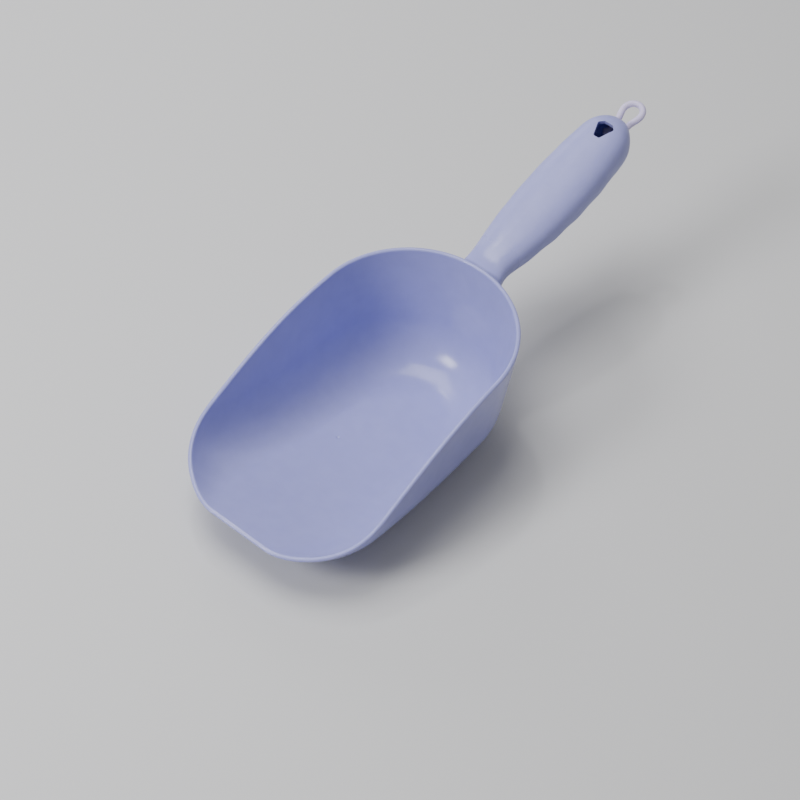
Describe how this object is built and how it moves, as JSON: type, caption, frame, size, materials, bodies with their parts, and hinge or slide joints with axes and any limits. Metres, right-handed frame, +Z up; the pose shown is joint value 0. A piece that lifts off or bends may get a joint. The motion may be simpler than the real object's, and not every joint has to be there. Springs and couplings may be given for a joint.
{
  "type": "feed scoop",
  "caption": "Moulded plastic scoop with a rounded bowl on a small flat base, a rim falling to a raised pouring lip, a raised hollow grip with finger scallops, and a small hang loop.",
  "frame": {"origin": "near the middle of the flat of the underside, on the plane of symmetry", "axes": "+X along the scoop from the pouring lip towards the handle, +Z up, away from the underside, +Y across"},
  "size_m": [0.3309, 0.118, 0.1066],
  "materials": {
    "scoop_plastic": "glossy moulded plastic",
    "loop_plastic": "satin moulded plastic"
  },
  "bodies": {
    "scoop": {"scoop_body": "scoop_plastic", "grip_cover": "scoop_plastic"},
    "loop": {"hang_loop": "loop_plastic"}
  },
  "joints": [
    {"name": "loop_pull", "type": "slide", "parent": "scoop", "child": "loop", "axis": [0.9613, 0, 0.2756], "range_m": [0, 0.003]}
  ]
}
